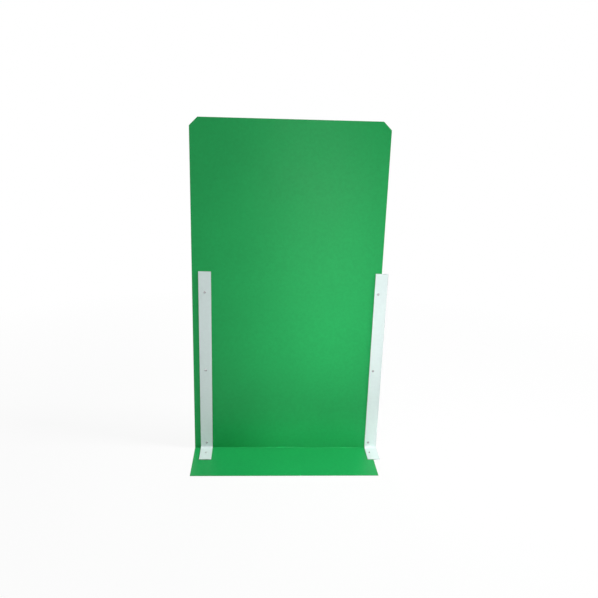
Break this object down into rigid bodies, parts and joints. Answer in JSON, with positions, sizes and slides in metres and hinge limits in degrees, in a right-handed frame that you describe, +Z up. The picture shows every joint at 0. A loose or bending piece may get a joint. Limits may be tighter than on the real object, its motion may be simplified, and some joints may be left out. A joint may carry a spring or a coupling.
{
  "type": "freestanding partition panel",
  "caption": "Freestanding partition panel of folded painted sheet, its lower flange turned forward as a foot, stiffened by bent flat-bar brackets riveted to the front.",
  "frame": {"origin": "on the floor, on the sheet's centreline, halfway along the depth of the foot", "axes": "+Z up; -Y to the front, where the foot and the brackets are; +X to the side where a bracket laps past the sheet's edge"},
  "size_m": [0.62, 0.1877, 1.0943],
  "materials": {
    "sheet_green": "satin",
    "bracket_white": "satin",
    "rivet": "satin",
    "mandrel": "rough"
  },
  "bodies": {
    "root": {"panel_sheet": "sheet_green", "left_bracket": "bracket_white", "left_top_rivet": "rivet", "left_top_mandrel": "mandrel", "left_middle_rivet": "rivet", "left_middle_mandrel": "mandrel", "left_bottom_rivet": "rivet", "left_bottom_mandrel": "mandrel", "left_foot_rivet": "rivet", "left_foot_mandrel": "mandrel", "right_bracket": "bracket_white", "right_top_rivet": "rivet", "right_top_mandrel": "mandrel", "right_middle_rivet": "rivet", "right_middle_mandrel": "mandrel", "right_bottom_rivet": "rivet", "right_bottom_mandrel": "mandrel", "right_foot_rivet": "rivet", "right_foot_mandrel": "mandrel"}
  },
  "joints": []
}
